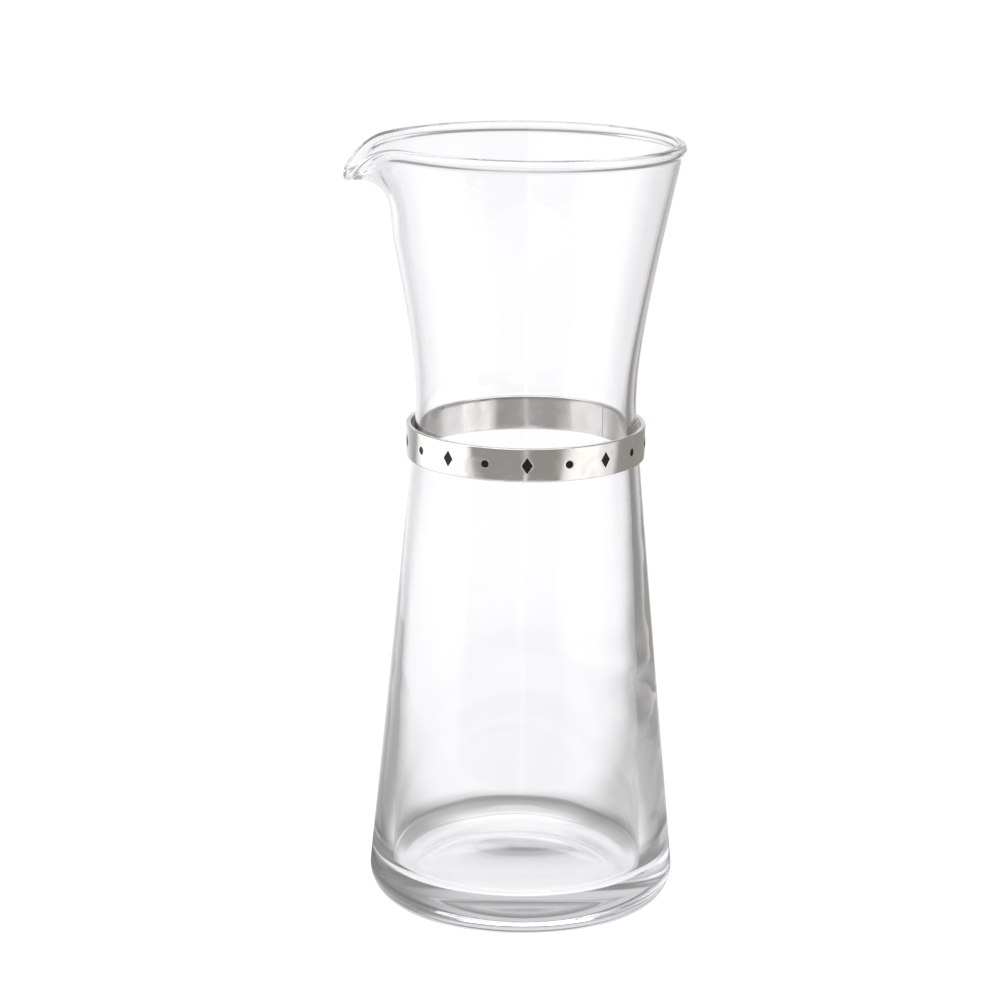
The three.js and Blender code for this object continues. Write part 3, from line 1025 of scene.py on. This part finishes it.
def paintedShadowLevel(tree, vector):
    # white under the base, a painted shadow ring close round it, then a slow rise to white; also where the
    # floor is under the base, and where it is near
    reach = vectorNode(tree, "LENGTH", {0: vector}, (-1300, 700))["Value"]
    foot, end = paintedShadowRing["under"], paintedShadowRing["end"]
    least, nearLevel = paintedShadowRing["least"], paintedShadowRing["nearLevel"]
    under = smoothRamp(tree, reach, (foot, paintedShadowRing["inner"], 1.0, least), (-1100, 780))
    beyond = smoothRamp(tree, reach, (paintedShadowRing["outer"], end, least, nearLevel), (-1100, 560))
    whiter = smoothRamp(tree, reach, (end, paintedShadowRing["far"], 0.0, 1.0 - nearLevel), (-1100, 340))
    beyond = mathNode(tree, "ADD", beyond, whiter, (-900, 460))
    isUnder = smoothRamp(tree, reach, (foot - paintedShadowRing["underEdge"], foot, 1.0, 0.0), (-1100, 1000))
    nearEnds = (paintedLightPool["full"], paintedLightPool["gone"], paintedLightPool["share"], 0.0)
    isNear = smoothRamp(tree, reach, nearEnds, (-1100, 1220))
    return mathNode(tree, "MAXIMUM", under, beyond, (-900, 680)), isUnder, isNear


def makeFloor(settings):
    # a wide disc: even white for the camera, and the sweep, the painted shadow ring and the painted pool of
    # light for the rest
    material, tree = newMaterial("floor_white")
    place = addNode(tree, "ShaderNodeTexCoord", (-1900, 0)).outputs["Object"]
    degrees = turnDegrees(tree, place)
    level = sweepLevel(tree, degrees)
    ring, isUnder, isNear = paintedShadowLevel(tree, place)
    # a painted pool of light on the floor near the base, to its right, for the glass and the metal
    isRight = smoothRamp(tree, degrees, (paintedLightPool["start"], paintedLightPool["end"], 0.0, 1.0), (-1100, 1440))
    paintedLight = mathNode(tree, "MULTIPLY", isNear, isRight, (-900, 1300))
    level = blendValues(tree, paintedLight, level, 1.0, (-320, 200))
    level = blendValues(tree, isUnder, level, 1.0, (-240, 60))
    # the painted shadow ring darkens the floor glow that the glass and the metal see
    level = mathNode(tree, "MULTIPLY", level, ring, (-80, 160))
    feeds = {0: level, 1: settings["glassGlow"], 2: -settings["lampShare"]}
    shown = addNode(tree, "ShaderNodeMath", (80, 0), feeds, operation="MULTIPLY_ADD").outputs[0]
    path = addNode(tree, "ShaderNodeLightPath", (-400, 480)).outputs
    isCamera = path["Is Camera Ray"]
    seen = mathNode(tree, "MAXIMUM", path["Is Glossy Ray"], path["Is Transmission Ray"], (-200, 480))
    forGlass = mathNode(tree, "MULTIPLY", seen, shown, (260, 160))
    forCamera = mathNode(tree, "MULTIPLY", isCamera, settings["floorGlow"], (0, 480))
    strength = mathNode(tree, "MAXIMUM", forGlass, forCamera, (420, 240))
    colour = glowColour(tree, level, isCamera, (260, -160))
    glow = addNode(tree, "ShaderNodeEmission", (600, 80), {"Color": colour, "Strength": strength})
    paper = addNode(tree, "ShaderNodeBsdfDiffuse", (600, -80), {"Color": settings["floorColour"]})
    both = addNode(tree, "ShaderNodeAddShader", (780, 0), {0: glow.outputs[0], 1: paper.outputs[0]})
    addNode(tree, "ShaderNodeOutputMaterial", (960, 0), {"Surface": both.outputs[0]})
    material.cycles.emission_sampling = "NONE"
    reach = settings["floorReach"] / millimetre
    sides = settings["floorSides"]
    turn = np.linspace(0, 2 * np.pi, sides, endpoint=False)
    drop = np.full_like(turn, -settings["floorDrop"] / millimetre)
    points = np.stack([reach * np.cos(turn), reach * np.sin(turn), drop], axis=-1)
    makePiece("floor", points, [np.arange(sides)[None]], material)


def bandLevel(tree, degrees, band, height):
    # one level in front to the left, another behind, a third to the right, with soft steps between them
    leftEnds = (band["gone"], band["end"], band["front"], band["level"])
    left = smoothRamp(tree, degrees, leftEnds, (-780, height))
    right = smoothRamp(tree, degrees, (band["full"], band["start"], 0.0, 1.0), (-600, height))
    return blendValues(tree, right, left, band["dim"], (-420, height))


def makeSurround(settings):
    # the sweep up to its top, then the two bands of the room, then a bright ceiling; white for the camera
    world = bpy.data.worlds.new("surround")
    world.use_nodes = True
    tree = world.node_tree
    tree.nodes.clear()
    place = addNode(tree, "ShaderNodeTexCoord", (-1900, 0)).outputs["Generated"]
    degrees = turnDegrees(tree, place)
    level = sweepLevel(tree, degrees)
    height = splitVector(tree, place, (-1500, -600))["Z"]
    climb = mathNode(tree, "ARCSINE", height, 0.0, (-1300, -600))
    climb = mathNode(tree, "MULTIPLY", climb, 180 / math.pi, (-1140, -600))
    overSweep = smoothRamp(tree, climb, (settings["sweepTop"], settings["lowFrom"], 0.0, 1.0), (-780, -520))
    overLow = smoothRamp(tree, climb, (settings["lowTo"], settings["highFrom"], 0.0, 1.0), (-780, -760))
    overHigh = smoothRamp(tree, climb, (settings["highTo"], settings["ceiling"], 0.0, 1.0), (-780, -1000))
    lit = blendValues(tree, overSweep, level, bandLevel(tree, degrees, lowBand, -1240), (-240, -200))
    lit = blendValues(tree, overLow, lit, bandLevel(tree, degrees, highBand, -1480), (-60, -200))
    lit = blendValues(tree, overHigh, lit, settings["ceilingLevel"], (60, -200))
    isCamera = addNode(tree, "ShaderNodeLightPath", (-240, 300)).outputs["Is Camera Ray"]
    strength = mathNode(tree, "MAXIMUM", lit, isCamera, (120, 0))
    colour = glowColour(tree, lit, isCamera, (-60, -460))
    back = addNode(tree, "ShaderNodeBackground", (300, 0), {"Color": colour, "Strength": strength})
    addNode(tree, "ShaderNodeOutputWorld", (480, 0), {"Surface": back.outputs[0]})
    scene.world = world


lamps = {
    "lamp_top": {"place": (0.0, 0.1, 1.3), "size": 1.0, "power": 10.0},
    "lamp_left": {"place": (-1.0, -0.2, 0.7), "size": 0.7, "power": 5.0},
}


def makeLamp(name, lamp):
    # a square lamp turned to the object, that isn't seen through the glass
    light = bpy.data.lights.new(name, "AREA")
    light.shape = "SQUARE"
    light.size = lamp["size"]
    light.energy = lamp["power"]
    shown = bpy.data.objects.new(name, light)
    toObject = np.array(studio["lampTarget"]) - np.array(lamp["place"])
    ahead = toObject / np.linalg.norm(toObject)
    side = np.cross(ahead, [0.0, 1.0, 0.0])
    side = side / np.linalg.norm(side)
    axes = np.eye(4)
    axes[:3] = np.stack([side, np.cross(side, ahead), -ahead, lamp["place"]], axis=1)
    shown.matrix_world = Matrix(axes.tolist())
    shown.visible_transmission = False
    scene.collection.objects.link(shown)


for name, card in cards.items():
    makeCard(name, card)
makeFloor(studio)
makeSurround(room)
for name, lamp in lamps.items():
    makeLamp(name, lamp)
print("studio made")
